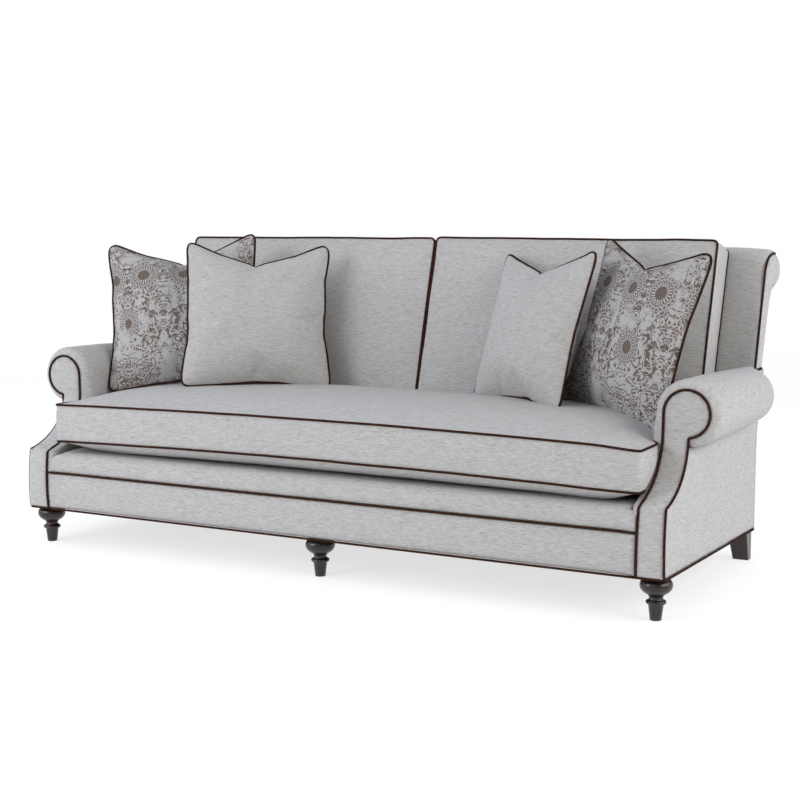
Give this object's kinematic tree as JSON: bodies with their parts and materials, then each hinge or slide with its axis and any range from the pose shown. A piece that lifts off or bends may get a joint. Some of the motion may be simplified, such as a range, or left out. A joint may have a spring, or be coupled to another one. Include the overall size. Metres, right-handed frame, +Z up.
{
  "type": "english roll arm sofa",
  "caption": "English roll arm sofa with a bench seat cushion, loose back cushions, throw pillows, corded seams, turned front legs and tapered rear legs.",
  "frame": {"origin": "middle of the footprint of the whole sofa's bounding box, on the floor", "axes": "+X to the right of someone looking at the sofa's front, along its length; +Y from front to rear; +Z up"},
  "size_m": [2.268, 1.0198, 0.9314],
  "materials": {
    "linen": "pale grey-white slubbed linen weave",
    "piping": "dark brown corded welt",
    "printed_linen": "pale linen printed with worn brown medallions and scrolls",
    "leg_finish": "dark espresso lacquer, semi-gloss",
    "hardwood": "bare kiln-dried hardwood",
    "bolt_steel": "zinc-plated steel",
    "spring_steel": "oil-tempered spring wire",
    "cambric": "black non-woven dust cover"
  },
  "bodies": {
    "sofa_frame": {"arm_facing_left": "linen", "arm_facing_right": "linen", "arm_outside_left": "linen", "arm_outside_right": "linen", "arm_pad_left": "linen", "arm_pad_right": "linen", "arm_rail_left": "hardwood", "arm_rail_right": "hardwood", "arm_stump_left": "hardwood", "arm_stump_right": "hardwood", "arm_welt_left": "piping", "arm_welt_right": "piping", "back_end_left": "linen", "back_end_right": "linen", "back_end_welt_left": "piping", "back_end_welt_right": "piping", "back_outside": "linen", "back_pad": "linen", "back_post_left": "hardwood", "back_post_right": "hardwood", "back_top_rail": "hardwood", "base_welt": "piping", "centre_stretcher": "hardwood", "corner_block_front_left": "hardwood", "corner_block_front_right": "hardwood", "corner_block_rear_left": "hardwood", "corner_block_rear_right": "hardwood", "dust_cover": "cambric", "front_border": "linen", "front_rail": "hardwood", "leg_bolt_front_centre": "bolt_steel", "leg_bolt_front_left": "bolt_steel", "leg_bolt_front_right": "bolt_steel", "leg_bolt_rear_centre": "bolt_steel", "leg_bolt_rear_left": "bolt_steel", "leg_bolt_rear_right": "bolt_steel", "leg_front_centre": "leg_finish", "leg_front_left": "leg_finish", "leg_front_right": "leg_finish", "leg_rear_centre": "leg_finish", "leg_rear_left": "leg_finish", "leg_rear_right": "leg_finish", "rail_welt": "piping", "rear_rail": "hardwood", "seat_deck": "linen", "seat_spring_rack": "spring_steel", "side_rail_left": "hardwood", "side_rail_right": "hardwood", "tack_rail": "hardwood"},
    "seat_cushion": {"seat_cushion": "linen", "seat_cushion_top_welt": "piping", "seat_cushion_bottom_welt": "piping"},
    "back_cushion_left": {"back_cushion_left": "linen", "back_cushion_left_welt": "piping"},
    "back_cushion_right": {"back_cushion_right": "linen", "back_cushion_right_welt": "piping"},
    "pillow_patterned_left": {"pillow_patterned_left": "printed_linen"},
    "pillow_patterned_right": {"pillow_patterned_right": "printed_linen"},
    "pillow_plain_left": {"pillow_plain_left": "linen"},
    "pillow_plain_right": {"pillow_plain_right": "linen"}
  },
  "joints": [
    {"name": "seat_cushion_lift", "type": "slide", "parent": "sofa_frame", "child": "seat_cushion", "axis": [0, 0, 1], "range_m": [0, 0.4]},
    {"name": "back_cushion_left_lift", "type": "slide", "parent": "seat_cushion", "child": "back_cushion_left", "axis": [0, 0, 1], "range_m": [0, 0.5]},
    {"name": "pillow_patterned_left_lift", "type": "slide", "parent": "back_cushion_left", "child": "pillow_patterned_left", "axis": [0, 0, 1], "range_m": [0, 0.5]},
    {"name": "pillow_plain_left_lift", "type": "slide", "parent": "pillow_patterned_left", "child": "pillow_plain_left", "axis": [0, 0, 1], "range_m": [0, 0.5]},
    {"name": "back_cushion_right_lift", "type": "slide", "parent": "seat_cushion", "child": "back_cushion_right", "axis": [0, 0, 1], "range_m": [0, 0.5]},
    {"name": "pillow_patterned_right_lift", "type": "slide", "parent": "back_cushion_right", "child": "pillow_patterned_right", "axis": [0, 0, 1], "range_m": [0, 0.5]},
    {"name": "pillow_plain_right_lift", "type": "slide", "parent": "pillow_patterned_right", "child": "pillow_plain_right", "axis": [0, 0, 1], "range_m": [0, 0.5]}
  ]
}
